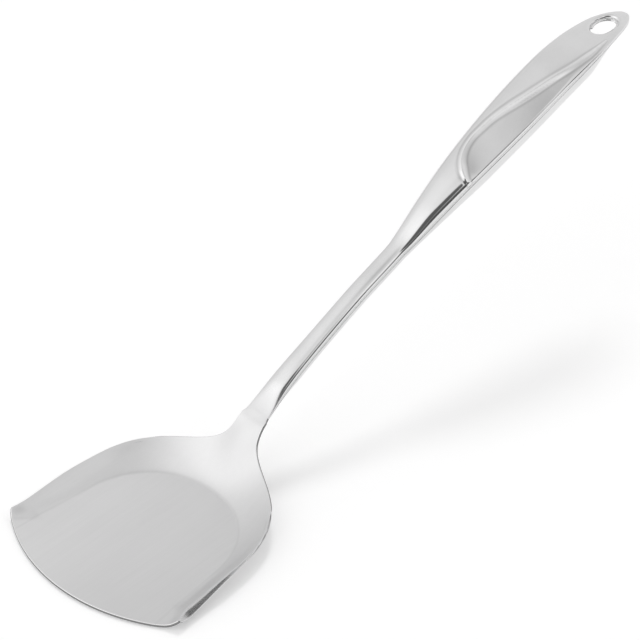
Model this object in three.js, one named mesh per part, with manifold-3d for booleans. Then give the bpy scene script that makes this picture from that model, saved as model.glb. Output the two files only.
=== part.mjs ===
// Wok spatula: a stamped sheet-steel blade welded to a hollow handle of two pressed shells.
// Millimetres, +Z up. The blade's flat pan lies on z = 0 and the handle rises behind it along +X.
// The origin is the centre of the pan's flat underside.
import * as THREE from "three";
import { mergeVertices } from "three/addons/utils/BufferGeometryUtils.js";
import Module from "manifold-3d";

// Blade: sheet and flat pan
const SHEET = 1.4; // thickness of the blade's sheet
const PAN_LENGTH = 86.3; // front edge to the rearmost point of the flat pan
const PAN_FRONT_HALF_WIDTH = 42.8; // half width of the flat at the level of the front edge
const PAN_REAR_HALF_WIDTH = 37.5; // half width where the pan's rounded rear begins
const PAN_ROUND_LENGTH = 34; // length of the rounded rear
const PAN_ROUND_POWER = 2.2; // 2 is an ellipse, more is squarer
const FRONT_EDGE_RADIUS = 83.4; // the front edge is one shallow arc
const CORNER_RADIUS = 1.8; // rounding of the two front corners

// Blade: flared rim and shoulders
const RIM_FRONT_HALF_WIDTH = 50.4; // widest, at the front corners
const RIM_REAR_HALF_WIDTH = 44.7; // where the side lines would reach the shoulder's end
const RIM_START_SETBACK = 17.5; // from the front edge to the widest point
const SHOULDER_START_SETBACK = 6.3; // from the front edge to where the shoulder curve is counted from
const SHOULDER_LENGTH = 98.2; // from there to the root of the neck
const SHOULDER_POWER = 6.7; // how late the side line turns in
const SHOULDER_FILLET = 9.3; // softness of the inner corner between shoulder and neck
const RIM_SLOPE_SHARE = 0.62; // steepness of the flared rim, rise over run
const RIM_BEND = 2.7; // size of the soft bend at its foot
const LIP_OFFSET = 5.2; // at the front corners the bend lies this far outside the flat
const LIP_START_SETBACK = 18.3; // from the front edge to where that distance begins to shrink
const LIP_LENGTH = 40; // it shrinks to nothing over this length

// Blade: neck and the tongue inside the handle
const NECK_HALF_WIDTH = 5.3; // what the shoulders' fillets run out to
const NECK_RIDGE_HALF_WIDTH = 12.1; // how wide the rise spreads into the rear wall
const NECK_RIDGE_POWER = 2.07; // how clearly the rise ends there
const NECK_MERGE_POWER = 7.7; // how late the rear wall is taken up into the neck
const TONGUE_HALF_WIDTH = 3.5;
const TONGUE_LENGTH = 17; // hidden inside the shank, measured from the shells' front end
const TONGUE_ROW_SHARES = [0, 0.06, 0.5, 1]; // rows of the tongue's grid along it

// Handle: the seam curve in the middle plane, seen from the side
const SHANK_START = { x: 74.15, z: 26.2 };
const SEAM_RUNS = {
  bend: 14, neck: 27, shank: 59, kink: 89, swell: 124, grip: 159, fall: 194, hole: 219, end: 237.5,
};
const SEAM_RISES = {
  bend: 8.2, neck: 14.6, shank: 28.7, kink: 40.3, swell: 57.8, grip: 71.7, fall: 83.3, hole: 87.8, end: 87.1,
};

// Handle: sections
const WALL = 0.8; // sheet of the two shells
const SHANK_FRONT_HALF_WIDTH = 5.2;
const SHANK_HALF_WIDTH = 4.4;
const SHANK_TAPER_RUN = 80; // the front of the shank narrows over this length
const GRIP_HALF_WIDTH = 12.2;
const SWELL_START_RUN = 86; // from the front end of the handle to where the grip begins to swell
const SWELL_RUN = 91.4; // from there to its full width
const TAIL_ROUND_RUN = 51.4; // length of the elliptical tail
const CROWN_FRONT = 1.9; // height of the upper shell over the seam
const CROWN_SHANK = 3;
const CROWN_GRIP = 5;
const CROWN_TAIL = 2.2;
const BELLY_FRONT = 2; // depth of the lower shell under the seam
const BELLY_SHANK = 5.5;
const BELLY_GRIP = 12.2;
const BELLY_TAIL = 2.1;
const FRONT_SWELL_RUN = 24; // the shank gains its full depth over this length
const CROWN_SWELL_RUN = 22;
const BELLY_SWELL_RUN = 49;
const CROWN_FALL_SETBACK = 55.5; // from the handle's end to where the upper side begins to fall away
const CROWN_FALL_RUN = 37;
const BELLY_FALL_SETBACK = 38; // and to where the belly does
const BELLY_FALL_RUN = 18.5;
const SIDE_SHARE = 0.8; // exponent of the section across: less than 1 is squarer than an ellipse
const TOP_SHARE = 0.9; // exponent of the section upwards
const TAIL_EDGE_POWER = 7.5; // how late the tail's thickness closes
const TAIL_EDGE_ROOT = 0.25; // and how bluntly

// Handle: the leaf panel and the ridge round it. The ridge is set by shares of the leaf's length and of the
// half width of the grip. The panel's far side runs out at the seam, at a share of the section's half width.
const LEAF_ROOT_RUN = 123.9; // from the front end of the handle
const LEAF_LENGTH = 89.7;
const LEAF_RUN_SHARES = [
  0, 0.012, 0.035, 0.067, 0.104, 0.147, 0.196, 0.253, 0.322, 0.402, 0.514, 0.636, 0.755, 0.88, 1,
];
const LEAF_RIDGE_SHARES = [
  -0.7, -0.508, -0.254, 0.005, 0.19, 0.308, 0.36, 0.328, 0.262, 0.102, -0.172, -0.426, -0.648, -0.725, -0.68,
];
const CREASE_SHARE = 0.985; // the panel's far side along most of the leaf
const CREASE_TIP_SHARE = 0.87; // and at its tip
const CREASE_FADE_SHARE = 0.35; // it turns inwards over this share of the leaf
const RIDGE_WIDTH = 3.8;
const RIDGE_HEIGHT = 1; // over the top face
const RIDGE_ROOT_SHARE = 0.3; // size of the ridge's root and of its tip
const RIDGE_GROWTH = 14; // length over which it grows to full size, at either end
const PANEL_DEPTH = 0.8; // under the top face, beside the ridge
const PANEL_TIP_SHARE = 0.86; // the panel ends here, short of the ridge's end
const PANEL_FADE_SHARE = 0.3; // its depth fades out over this share of the leaf before that

// Handle: hanging hole
const HOLE_SETBACK = 16.1; // from the handle's end to the hole's centre
const HOLE_LENGTH = 15;
const HOLE_WIDTH = 11.6;

// Joints
const SEAM_GAP = 1.1; // between the edges of the two shells
const WELD_THICKNESS = 0.5; // bead between them
const WELD_DEPTH = 1.1; // how far a bead reaches inwards
const NECK_WELD_LENGTH = 2.2;
const WELD_FIT = 0.2; // between a weld and the sheet it is run round
const CLEARANCE = 0.3;
const OVERRUN = 5; // cutters reach this far past what they cut

// Mesh fineness
const SEAM_SAMPLES = 600;
const MERGE_DISTANCE = 1e-4;
const BLADE_STATIONS = 46;
const BLADE_COLUMNS = 24;
const COLUMN_POWER = 1.25; // crowds the columns of the blade's grid towards its rim
const BOW_SHARE = 0.6; // share of the blade's length over which its rows straighten
const BOW_FADE_POWER = 1.5; // how the bow of the front edge dies out over that
const CORNER_FADE_POWER = 3; // and how the rounding of its corners does
const BLADE_PASSES = 3; // rounds in which a bowed row finds its own half width
const SHELL_STATIONS = 50;
const SHELL_FACETS = 16;
const CAVITY_STATIONS = 26;
const CAVITY_FACETS = 12;
const HOLE_FACETS = 18; // for each half of the oval
const RIDGE_STATIONS = 38;
const PANEL_STATIONS = 25;
const PANEL_STATION_POWER = 1.6; // crowds the panel's stations towards its root
const RIDGE_FACETS = 10;
const WELD_STATIONS = 26;
const WELD_TAIL_STATIONS = 14;
const TAIL_STATION_SHARE = 0.34; // share of the stations that lie on the rounded tail
const TAIL_SWEEP = THREE.MathUtils.degToRad(88.6); // the tail's grid stops just short of its tip

const wasm = await Module();
wasm.setup();

const FRONT_X = -PAN_LENGTH / 2;
const PAN_END_X = PAN_LENGTH / 2;
const HANDLE_END_X = SHANK_START.x + SEAM_RUNS.end;
const TAIL_START_X = HANDLE_END_X - TAIL_ROUND_RUN;

function smoothstep(x, start, length) {
  const s = THREE.MathUtils.clamp((x - start) / length, 0, 1);
  return s * s * (3 - 2 * s);
}

// The seam curve: a spline through the named runs and rises, read as a height over x.
const seamCurve = new THREE.SplineCurve([
  new THREE.Vector2(SHANK_START.x, SHANK_START.z),
  ...Object.keys(SEAM_RUNS).map(
    (key) => new THREE.Vector2(SHANK_START.x + SEAM_RUNS[key], SHANK_START.z + SEAM_RISES[key]),
  ),
]);
const seamSamples = seamCurve.getPoints(SEAM_SAMPLES);

// Point and unit tangent of the seam at x; before the handle's front end it runs on in a straight line.
function seamAt(x) {
  const first = seamSamples[0];
  if (x <= first.x) {
    const tangent = seamSamples[1].clone().sub(first).normalize();
    return { point: new THREE.Vector2(x, first.y + ((x - first.x) * tangent.y) / tangent.x), tangent };
  }
  let i = 1;
  while (i < seamSamples.length - 1 && seamSamples[i].x < x) i += 1;
  const [a, b] = [seamSamples[i - 1], seamSamples[i]];
  return { point: a.clone().lerp(b, (x - a.x) / (b.x - a.x)), tangent: b.clone().sub(a).normalize() };
}

// A point of the handle at x, offset across (Y) and upwards, square to the seam.
function handlePoint(x, across, up) {
  const { point, tangent } = seamAt(x);
  return new THREE.Vector3(point.x - tangent.y * up, across, point.y + tangent.x * up);
}

// Closed body of a grid of rings: each ring is an array of points, and each end is closed by rungs across it.
function loft(rings) {
  const count = rings[0].length;
  const positions = rings.flat().flatMap((p) => [p.x, p.y, p.z]);
  const index = [];
  const quad = (a, b, c, d) => index.push(a, b, c, a, c, d);
  for (let i = 0; i < rings.length - 1; i += 1) {
    for (let j = 0; j < count; j += 1) {
      const k = (j + 1) % count;
      quad(i * count + j, i * count + k, (i + 1) * count + k, (i + 1) * count + j);
    }
  }
  const last = (rings.length - 1) * count;
  for (let j = 0; j < count / 2 - 1; j += 1) {
    const [a, b, c, d] = [j, j + 1, count - 2 - j, count - 1 - j];
    quad(d, c, b, a);
    quad(last + a, last + b, last + c, last + d);
  }
  return new THREE.BufferGeometry()
    .setAttribute("position", new THREE.Float32BufferAttribute(positions, 3))
    .setIndex(index);
}

// A closed geometry as a solid for joining and cutting, turned so that its faces point outwards.
function solid(geometry) {
  const bare = geometry.clone();
  bare.deleteAttribute("normal");
  bare.deleteAttribute("uv");
  const merged = mergeVertices(bare, MERGE_DISTANCE);
  const vertProperties = merged.attributes.position.array;
  const made = new wasm.Manifold(
    new wasm.Mesh({ numProp: 3, vertProperties, triVerts: new Uint32Array(merged.index.array) }),
  );
  if (made.volume() > 0) return made;
  const turned = new Uint32Array(merged.index.array).reverse();
  return new wasm.Manifold(new wasm.Mesh({ numProp: 3, vertProperties, triVerts: turned }));
}

function geometryOf(made) {
  const mesh = made.getMesh();
  return new THREE.BufferGeometry()
    .setAttribute("position", new THREE.BufferAttribute(mesh.vertProperties, mesh.numProp))
    .setIndex(new THREE.BufferAttribute(mesh.triVerts, 1));
}

// Half width of the flat pan at x, before its rear is rounded off.
function panSide(x) {
  const run = PAN_LENGTH - PAN_ROUND_LENGTH;
  const taper = (PAN_FRONT_HALF_WIDTH - PAN_REAR_HALF_WIDTH) / run;
  return PAN_FRONT_HALF_WIDTH - taper * (x - FRONT_X);
}

// Distance of a point outside the pan's outline, negative inside: a squared-off ellipse behind, straight
// sides before.
function panDistance(x, y) {
  const half = panSide(x);
  const t = Math.max(x - (PAN_END_X - PAN_ROUND_LENGTH), 0) / PAN_ROUND_LENGTH;
  const s = Math.max(Math.abs(y) / half, Number.EPSILON);
  const p = PAN_ROUND_POWER;
  const rho = (t ** p + s ** p) ** (1 / p);
  const slope = rho ** (1 - p) * Math.hypot(t ** (p - 1) / PAN_ROUND_LENGTH, s ** (p - 1) / half);
  return (rho - 1) / slope;
}

// Half width of the blade at x: tapering sides, rounded shoulders, a soft inner corner and the neck.
function bladeHalfWidth(x) {
  const start = FRONT_X + SHOULDER_START_SETBACK;
  const end = start + SHOULDER_LENGTH;
  const widest = FRONT_X + RIM_START_SETBACK;
  const taper = (RIM_FRONT_HALF_WIDTH - RIM_REAR_HALF_WIDTH) / (end - widest);
  const side = RIM_FRONT_HALF_WIDTH - taper * (x - widest) - NECK_HALF_WIDTH;
  const reach = side * (1 - (Math.max(x - start, 0) / SHOULDER_LENGTH) ** SHOULDER_POWER);
  return NECK_HALF_WIDTH + (reach + Math.hypot(reach, SHOULDER_FILLET)) / 2;
}

// Height of the blade's upper face: the rim's bend turns into an even slope, and behind the pan the neck's
// rise is laid over it as a ridge that dies out to both sides.
const NECK_WELD_X = SHANK_START.x - CLEARANCE - NECK_WELD_LENGTH;
const NECK_END_X = NECK_WELD_X - CLEARANCE - SHEET / 2;

function tongueTop(x) {
  const { point, tangent } = seamAt(x);
  return point.y + SHEET / 2 / tangent.x;
}

// Upper face along the middle: it leaves the pan at the slope that the rim's bend starts with, and comes into
// the tongue at the tongue's own slope.
function neckHeight(x) {
  if (x <= PAN_END_X) return SHEET;
  if (x >= NECK_END_X) return tongueTop(x);
  const run = NECK_END_X - PAN_END_X;
  const s = (x - PAN_END_X) / run;
  const { tangent } = seamAt(NECK_END_X);
  const rise = tongueTop(NECK_END_X) - SHEET;
  const leave = (run * RIM_SLOPE_SHARE) / 2;
  const arrive = (run * tangent.y) / tangent.x;
  return (
    SHEET +
    rise * (3 * s * s - 2 * s ** 3) +
    leave * (s ** 3 - 2 * s * s + s) +
    arrive * (s ** 3 - s * s)
  );
}

function bowlHeight(x, y) {
  const out = Math.max(panDistance(x, y), 0);
  const offset = LIP_OFFSET * (1 - smoothstep(x, FRONT_X + LIP_START_SETBACK, LIP_LENGTH));
  const bendAt = (d) => (d - offset + Math.hypot(d - offset, RIM_BEND)) / 2;
  return SHEET + RIM_SLOPE_SHARE * (bendAt(out) - bendAt(0));
}

function bladeHeight(x, y) {
  const spread = 1 / (1 + (Math.abs(y) / NECK_RIDGE_HALF_WIDTH) ** NECK_RIDGE_POWER);
  const bowl = bowlHeight(x, y);
  if (x <= PAN_END_X) return bowl;
  const lift = neckHeight(x) - bowlHeight(x, 0);
  const full = smoothstep(x, PAN_END_X, NECK_END_X - PAN_END_X);
  return bowl + lift * (spread + (1 - spread) * full ** NECK_MERGE_POWER);
}

// Grid of the blade's upper face. Across, the columns lie closer on the rim than on the flat. Along, the
// first rows follow the curved front edge with its rounded corners, and this bow fades out behind it.
function bladeTopPoint(u, v) {
  const side = Math.sign(v) * (1 - (1 - Math.abs(v)) ** COLUMN_POWER);
  const fade = 1 - Math.min(u / BOW_SHARE, 1);
  const along = THREE.MathUtils.lerp(FRONT_X, NECK_END_X, u);
  const xAt = (y, half) => {
    const bow = FRONT_EDGE_RADIUS - Math.sqrt(FRONT_EDGE_RADIUS ** 2 - y * y);
    const inset = Math.max(Math.abs(y) - (half - CORNER_RADIUS), 0);
    const corner = CORNER_RADIUS - Math.sqrt(Math.max(CORNER_RADIUS ** 2 - inset * inset, 0));
    return along + bow * fade ** BOW_FADE_POWER + corner * fade ** CORNER_FADE_POWER;
  };
  let half = bladeHalfWidth(along);
  for (let pass = 0; pass < BLADE_PASSES; pass += 1) half = bladeHalfWidth(xAt(half, half));
  const y = side * half;
  const x = xAt(y, half);
  return new THREE.Vector3(x, y, bladeHeight(x, y));
}

// The blade: upper face, lower face one sheet thickness under it along the normal, and the cut edge between.
function makeBlade() {
  const rows = [];
  for (let i = 0; i <= BLADE_STATIONS; i += 1) {
    const row = [];
    for (let j = 0; j <= BLADE_COLUMNS; j += 1) {
      row.push(bladeTopPoint(i / BLADE_STATIONS, (2 * j) / BLADE_COLUMNS - 1));
    }
    rows.push(row);
  }
  for (const share of TONGUE_ROW_SHARES) {
    const x = NECK_END_X + CLEARANCE / 3 + share * (SHANK_START.x + TONGUE_LENGTH - NECK_END_X);
    rows.push(rows[0].map((_, j) => {
      const y = TONGUE_HALF_WIDTH * ((2 * j) / BLADE_COLUMNS - 1);
      return new THREE.Vector3(x, y, tongueTop(x));
    }));
  }
  const bottom = rows.map((row, i) => row.map((p, j) => {
    const along = rows[Math.min(i + 1, rows.length - 1)][j].clone().sub(rows[Math.max(i - 1, 0)][j]);
    const across = row[Math.min(j + 1, BLADE_COLUMNS)].clone().sub(row[Math.max(j - 1, 0)]);
    return p.clone().addScaledVector(along.cross(across).normalize(), -SHEET);
  }));
  return solid(loft(rows.map((row, i) => [...row, ...bottom[i].slice().reverse()])));
}

// Sizes of the handle's section at x, with a wall taken off all round when inset is given.
function section(x, inset = 0) {
  const run = x - SHANK_START.x;
  const swell = THREE.MathUtils.clamp((run - SWELL_START_RUN) / SWELL_RUN, 0, 1);
  const front = THREE.MathUtils.clamp((SHANK_TAPER_RUN - run) / SHANK_TAPER_RUN, 0, 1);
  const tail = THREE.MathUtils.clamp((x - TAIL_START_X) / (TAIL_ROUND_RUN - inset), 0, 1);
  const edge = (1 - tail ** TAIL_EDGE_POWER) ** TAIL_EDGE_ROOT;
  const width =
    SHANK_HALF_WIDTH +
    (SHANK_FRONT_HALF_WIDTH - SHANK_HALF_WIDTH) * front ** 2 +
    (GRIP_HALF_WIDTH - SHANK_HALF_WIDTH) * Math.sin((swell * Math.PI) / 2);
  const crown =
    CROWN_FRONT +
    (CROWN_SHANK - CROWN_FRONT) * smoothstep(run, 0, FRONT_SWELL_RUN) +
    (CROWN_GRIP - CROWN_SHANK) * smoothstep(run, SWELL_START_RUN, CROWN_SWELL_RUN) +
    (CROWN_TAIL - CROWN_GRIP) * smoothstep(run, SEAM_RUNS.end - CROWN_FALL_SETBACK, CROWN_FALL_RUN);
  const belly =
    BELLY_FRONT +
    (BELLY_SHANK - BELLY_FRONT) * smoothstep(run, 0, FRONT_SWELL_RUN) +
    (BELLY_GRIP - BELLY_SHANK) * smoothstep(run, SWELL_START_RUN, BELLY_SWELL_RUN) +
    (BELLY_TAIL - BELLY_GRIP) * smoothstep(run, SEAM_RUNS.end - BELLY_FALL_SETBACK, BELLY_FALL_RUN);
  return {
    width: (width - inset) * Math.sqrt(1 - tail ** 2),
    crown: (crown - inset) * edge,
    belly: (belly - inset) * edge,
  };
}

// Height of the upper face over the seam at x, offset across.
function crownHeight(x, across) {
  const { width, crown } = section(x);
  const base = SEAM_GAP / 2;
  const share = Math.min(Math.abs(across) / width, 1);
  return base + (crown - base) * (1 - share ** (2 / SIDE_SHARE)) ** (TOP_SHARE / 2);
}

// Stations along the handle: even up to the tail, and by the sine of an angle round it.
function handleStations(count, start, inset) {
  const tailCount = Math.round(count * TAIL_STATION_SHARE);
  const bodyCount = count - tailCount;
  const body = Array.from({ length: bodyCount }, (_, i) => {
    return THREE.MathUtils.lerp(start, TAIL_START_X, i / bodyCount);
  });
  const tail = Array.from({ length: tailCount + 1 }, (_, i) => {
    return TAIL_START_X + (TAIL_ROUND_RUN - inset) * Math.sin((i / tailCount) * TAIL_SWEEP);
  });
  return [...body, ...tail];
}

// Upper half (side 1) or lower half (side -1) of the handle as a full body, cut flat at the level base from
// the seam. With skirt, straight walls reach on past that level, for a body that cuts the cavity.
function halfBody({ side, inset = 0, skirt = 0, count, facets, start }) {
  const base = SEAM_GAP / 2;
  const rings = handleStations(count, start, inset).map((x) => {
    const shape = section(x, inset);
    const height = Math.max(side > 0 ? shape.crown : shape.belly, base + WALL / 4);
    const ring = [];
    if (skirt) ring.push(handlePoint(x, shape.width, side * (base - skirt)));
    for (let j = 0; j <= facets; j += 1) {
      const angle = (j / facets) * Math.PI;
      const across = shape.width * Math.sign(Math.cos(angle)) * Math.abs(Math.cos(angle)) ** SIDE_SHARE;
      const up = base + (height - base) * Math.abs(Math.sin(angle)) ** TOP_SHARE;
      ring.push(handlePoint(x, across, side * up));
    }
    if (skirt) ring.push(handlePoint(x, -shape.width, side * (base - skirt)));
    return ring;
  });
  return solid(loft(rings));
}

// An oval post square to the handle at the hanging hole, for the collars and for the hole itself.
function ovalPost(grow, low, high) {
  const outline = new THREE.Shape();
  outline.absellipse(0, 0, HOLE_LENGTH / 2 + grow, HOLE_WIDTH / 2 + grow, 0, 2 * Math.PI);
  const post = new THREE.ExtrudeGeometry(outline, {
    depth: high - low, bevelEnabled: false, curveSegments: HOLE_FACETS, steps: 1,
  });
  post.translate(0, 0, low);
  const { point, tangent } = seamAt(HANDLE_END_X - HOLE_SETBACK);
  post.rotateY(-Math.atan2(tangent.y, tangent.x));
  post.translate(point.x, 0, point.y);
  return solid(post);
}

// Middle line of the ridge, as a spline of x and offset across.
const ridgeCurve = new THREE.SplineCurve(
  LEAF_RUN_SHARES.map((share, i) => {
    const x = SHANK_START.x + LEAF_ROOT_RUN + share * LEAF_LENGTH;
    return new THREE.Vector2(x, LEAF_RIDGE_SHARES[i] * GRIP_HALF_WIDTH);
  }),
);
const ridgeSamples = ridgeCurve.getPoints(SEAM_SAMPLES);

function ridgeAt(x) {
  let i = 1;
  while (i < ridgeSamples.length - 1 && ridgeSamples[i].x < x) i += 1;
  const [a, b] = [ridgeSamples[i - 1], ridgeSamples[i]];
  return THREE.MathUtils.lerp(a.y, b.y, THREE.MathUtils.clamp((x - a.x) / (b.x - a.x), 0, 1));
}

// Where the panel runs out of the handle's side.
function creaseAt(x) {
  const share = (x - SHANK_START.x - LEAF_ROOT_RUN) / LEAF_LENGTH;
  const turn = smoothstep(share, PANEL_TIP_SHARE - CREASE_FADE_SHARE, CREASE_FADE_SHARE);
  return -section(x).width * THREE.MathUtils.lerp(CREASE_SHARE, CREASE_TIP_SHARE, turn);
}

// The ridge: a bead with an oval section on the top face, small at its root and dying out at its tip.
function makeRidge() {
  const stops = ridgeCurve.getSpacedPoints(RIDGE_STATIONS);
  const points = stops.map((stop) => handlePoint(stop.x, stop.y, crownHeight(stop.x, stop.y)));
  const lengths = [0];
  for (let i = 1; i < points.length; i += 1) {
    lengths.push(lengths[i - 1] + points[i].distanceTo(points[i - 1]));
  }
  const rings = points.map((p, i) => {
    const toEnd = Math.min(lengths[i], lengths[points.length - 1] - lengths[i]);
    const size = THREE.MathUtils.lerp(RIDGE_ROOT_SHARE, 1, smoothstep(toEnd, 0, RIDGE_GROWTH));
    const next = points[Math.min(i + 1, points.length - 1)];
    const along = next.clone().sub(points[Math.max(i - 1, 0)]).normalize();
    const { tangent } = seamAt(stops[i].x);
    const up = new THREE.Vector3(-tangent.y, 0, tangent.x);
    const across = along.clone().cross(up).normalize();
    return Array.from({ length: RIDGE_FACETS }, (_, j) => {
      const angle = ((j + 1 / 2) / RIDGE_FACETS) * 2 * Math.PI;
      return p.clone()
        .addScaledVector(across, (Math.cos(angle) * size * RIDGE_WIDTH) / 2)
        .addScaledVector(up, Math.sin(angle) * size * RIDGE_HEIGHT);
    });
  });
  return solid(loft(rings));
}

// The space over the leaf panel, with the panel as its floor: flat across, from its depth beside the ridge
// down to the crease, where it runs out of the side. drop lowers it by a wall.
function makePanelSpace(drop) {
  const rings = Array.from({ length: PANEL_STATIONS + 1 }, (_, i) => {
    const share = PANEL_TIP_SHARE * (i / PANEL_STATIONS) ** PANEL_STATION_POWER;
    const x = SHANK_START.x + LEAF_ROOT_RUN + share * LEAF_LENGTH;
    const ridge = ridgeAt(x);
    const crease = creaseAt(x);
    const fade = smoothstep(share, PANEL_TIP_SHARE - PANEL_FADE_SHARE, PANEL_FADE_SHARE);
    const low = crownHeight(x, crease);
    const high = crownHeight(x, ridge) - PANEL_DEPTH * (1 - fade);
    const slope = (high - low) / Math.max(ridge - crease, RIDGE_WIDTH / 2);
    const level = (y) => low + slope * (y - crease) - drop;
    const left = Math.max(ridge - RIDGE_WIDTH / 4, crease) + drop;
    const right = -GRIP_HALF_WIDTH - OVERRUN;
    return [
      handlePoint(x, left, level(left)),
      handlePoint(x, right, level(right)),
      handlePoint(x, right, CROWN_GRIP + OVERRUN),
      handlePoint(x, left, CROWN_GRIP + OVERRUN),
    ];
  });
  return solid(loft(rings));
}

// One shell: the outer half body less its cavity, with the half of the hanging hole's collar, and for the
// upper one the leaf panel pressed in and the ridge raised round it.
function makeShell(side) {
  const body = halfBody({ side, count: SHELL_STATIONS, facets: SHELL_FACETS, start: SHANK_START.x });
  const reach = side > 0 ? CROWN_GRIP + OVERRUN : BELLY_GRIP + OVERRUN;
  const levels = side > 0 ? [SEAM_GAP / 2, reach] : [-reach, -SEAM_GAP / 2];
  const collar = ovalPost(WALL, ...levels).intersect(body);
  const start = SHANK_START.x - OVERRUN;
  let cavity = halfBody({
    side, inset: WALL, skirt: OVERRUN, count: CAVITY_STATIONS, facets: CAVITY_FACETS, start,
  });
  let outer = body;
  if (side > 0) {
    outer = body.subtract(makePanelSpace(0)).add(makeRidge());
    cavity = cavity.subtract(makePanelSpace(WALL));
  }
  return outer.subtract(cavity).add(collar).subtract(ovalPost(0, -reach, reach));
}

// Weld between the shells along one side: a flat bead that follows the seam's outline and its inset copy.
function makeSeamWeld(side) {
  const half = WELD_THICKNESS / 2;
  const edge = (angle, x, inset) => {
    const inTail = angle > 0;
    const atX = inTail ? TAIL_START_X + (TAIL_ROUND_RUN - inset) * Math.sin(angle) : x;
    const { width } = section(inTail ? TAIL_START_X : x);
    return { x: atX, across: side * (width - inset) };
  };
  const stops = Array.from({ length: WELD_STATIONS }, (_, i) => ({
    angle: 0, x: THREE.MathUtils.lerp(SHANK_START.x + CLEARANCE, TAIL_START_X, i / WELD_STATIONS),
  }));
  for (let i = 0; i <= WELD_TAIL_STATIONS; i += 1) {
    stops.push({ angle: (i / WELD_TAIL_STATIONS) * TAIL_SWEEP, x: TAIL_START_X });
  }
  const rings = stops.map(({ angle, x }) => {
    const [out, inner] = [edge(angle, x, 0), edge(angle, x, WELD_DEPTH)];
    const turn = Math.cos(angle);
    return [
      handlePoint(out.x, out.across * turn, half),
      handlePoint(inner.x, inner.across * turn, half),
      handlePoint(inner.x, inner.across * turn, -half),
      handlePoint(out.x, out.across * turn, -half),
    ];
  });
  return solid(loft(rings));
}

// Ring of the handle's full section at x, for given half width, height above and depth below the seam line.
function fullRing(x, width, up, down, facets) {
  return Array.from({ length: facets }, (_, j) => {
    const angle = ((j + 0.5) / facets) * 2 * Math.PI;
    const [c, s] = [Math.cos(angle), Math.sin(angle)];
    const height = s > 0 ? up : down;
    const across = width * Math.sign(c) * Math.abs(c) ** SIDE_SHARE;
    return handlePoint(x, across, height * Math.sign(s) * Math.abs(s) ** TOP_SHARE);
  });
}

// Weld round the tongue, between the shoulders of the neck and the open front end of the shells.
function makeNeckWeld() {
  const thin = SHEET / 2 + WELD_FIT + WELD_THICKNESS;
  const [front, back] = [NECK_WELD_X, NECK_WELD_X + NECK_WELD_LENGTH];
  const ring = solid(loft([
    fullRing(front, bladeHalfWidth(NECK_END_X), thin, thin, SHELL_FACETS * 2),
    fullRing(back, SHANK_FRONT_HALF_WIDTH, CROWN_FRONT, BELLY_FRONT, SHELL_FACETS * 2),
  ]));
  const [wide, high] = [TONGUE_HALF_WIDTH + WELD_FIT, SHEET / 2 + WELD_FIT];
  const slotRing = (x) => [
    handlePoint(x, wide, high),
    handlePoint(x, -wide, high),
    handlePoint(x, -wide, -high),
    handlePoint(x, wide, -high),
  ];
  return ring.subtract(solid(loft([slotRing(front - OVERRUN), slotRing(back + OVERRUN)])));
}

// Weld between the two collars inside the hanging hole.
function makeHoleWeld() {
  const half = WELD_THICKNESS / 2;
  return ovalPost(WALL, -half, half).subtract(ovalPost(0, -half - OVERRUN, half + OVERRUN));
}

const satin = { color: 0xc8c8c7, roughness: 0.42, metalness: 1 };
const polished = { color: 0xdcdcdb, roughness: 0.14, metalness: 1 };
const ground = { color: 0xcfcfce, roughness: 0.25, metalness: 1 };

function piece(name, made, finish) {
  const mesh = new THREE.Mesh(geometryOf(made), new THREE.MeshStandardMaterial(finish));
  mesh.name = name;
  return mesh;
}

const handle = new THREE.Group();
handle.add(
  piece("handle_top_shell", makeShell(1), polished),
  piece("handle_bottom_shell", makeShell(-1), polished),
  piece("seam_weld_left", makeSeamWeld(1), ground),
  piece("seam_weld_right", makeSeamWeld(-1), ground),
  piece("hole_weld", makeHoleWeld(), ground),
);

const spatula = new THREE.Group();
spatula.add(piece("blade", makeBlade(), satin), piece("neck_weld", makeNeckWeld(), ground), handle);

export default spatula;
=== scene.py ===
"""Wok spatula: a satin steel blade with a flared rim, run into a polished hollow handle.

Every formula works in millimetres on whole numpy arrays, and a mesh is made in metres at the end.
x runs from the blade's front edge to the handle's tail, y to the blade's left, z up.
"""

import math

import bmesh
import bpy
import numpy as np
from bpy.props import FloatProperty, FloatVectorProperty, PointerProperty
from bpy.types import Operator, Panel, PropertyGroup
from mathutils import Matrix, Vector


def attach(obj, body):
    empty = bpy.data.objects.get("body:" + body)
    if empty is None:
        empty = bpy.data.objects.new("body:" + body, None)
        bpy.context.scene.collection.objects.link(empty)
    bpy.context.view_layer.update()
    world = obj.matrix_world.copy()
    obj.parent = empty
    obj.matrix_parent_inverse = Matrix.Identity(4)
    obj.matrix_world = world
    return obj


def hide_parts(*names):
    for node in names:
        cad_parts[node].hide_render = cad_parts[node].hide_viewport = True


bl_info = {
    "name": "Wok Spatula",
    "version": (1, 0, 0),
    "blender": (4, 5, 0),
    "location": "View3D > Sidebar > Spatula",
    "description": "Builds a wok spatula with a pressed blade and a hollow handle",
    "category": "Add Mesh",
}

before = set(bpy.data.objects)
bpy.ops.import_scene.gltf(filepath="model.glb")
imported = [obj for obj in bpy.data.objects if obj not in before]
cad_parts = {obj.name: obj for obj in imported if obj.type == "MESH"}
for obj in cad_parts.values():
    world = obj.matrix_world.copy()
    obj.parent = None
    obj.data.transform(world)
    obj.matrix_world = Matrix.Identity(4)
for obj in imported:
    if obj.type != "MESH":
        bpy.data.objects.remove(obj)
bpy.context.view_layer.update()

# A millimetre in metres; a length in millimetres and a pure number that keep a division safe; the
# distance in millimetres under which vertices become one; the steps of a curve through points; and
# how often a place that depends on itself is worked out again

MM = 0.001
TINY = 1e-6
NONZERO = 1e-9
JOIN = 0.002
CURVE_STEPS = 600
PASSES = 4


# Sizes of the blade: a setback is measured from the front edge's middle

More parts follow.
